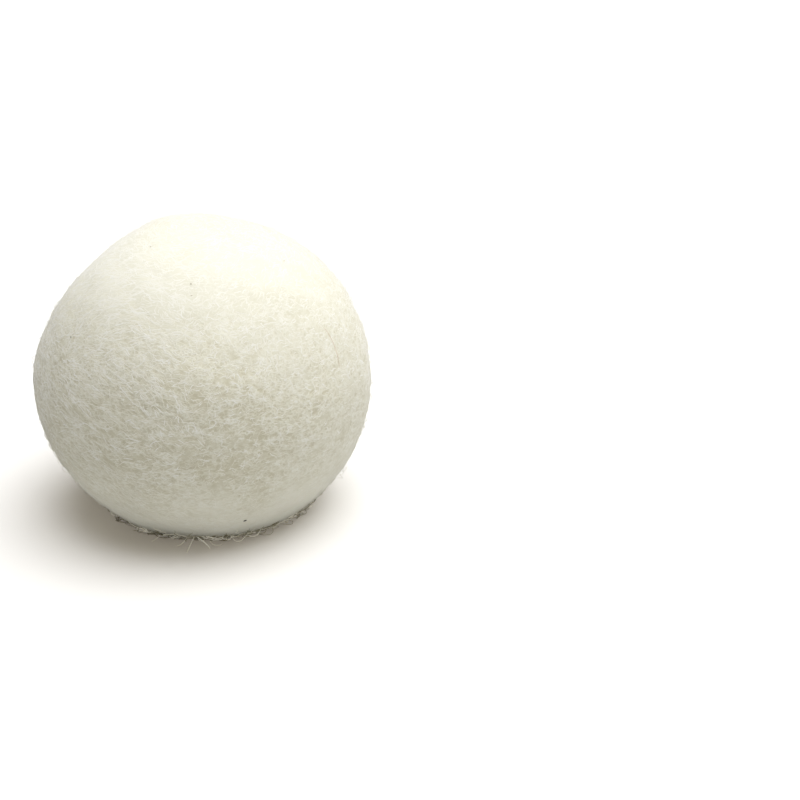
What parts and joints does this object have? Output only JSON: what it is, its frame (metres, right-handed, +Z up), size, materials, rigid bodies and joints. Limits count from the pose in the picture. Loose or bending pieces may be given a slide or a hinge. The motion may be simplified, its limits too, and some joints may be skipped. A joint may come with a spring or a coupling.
{
  "type": "wool dryer ball",
  "caption": "Solid felted wool ball with a pressed resting side: a wound yarn core under layers of wrapped wool and a matted outer felt.",
  "frame": {"origin": "middle of the flat resting face, under the middle of the ball", "axes": "+Z up out of the resting face through the middle of the ball, -Y towards the side that is seen from the front, +X to the right of that side"},
  "size_m": [0.0714, 0.0706, 0.0637],
  "materials": {
    "core_wool": "carded undyed wool, lightly felted, loose and springy",
    "yarn_wool": "thick soft-twist undyed wool yarn, wound tight",
    "cover_wool": "carded white wool, felted firm",
    "felt": "matted off-white wool felt, matt, with fine pits and loose crimped fibres"
  },
  "bodies": {
    "root": {"starter_knot": "core_wool", "yarn_winding": "yarn_wool", "core_wrap_1": "core_wool", "core_wrap_2": "core_wool", "core_wrap_3": "core_wool", "core_wrap_4": "core_wool", "cover_wrap_1": "cover_wool", "cover_wrap_2": "cover_wool", "felt_skin": "felt"}
  },
  "joints": []
}
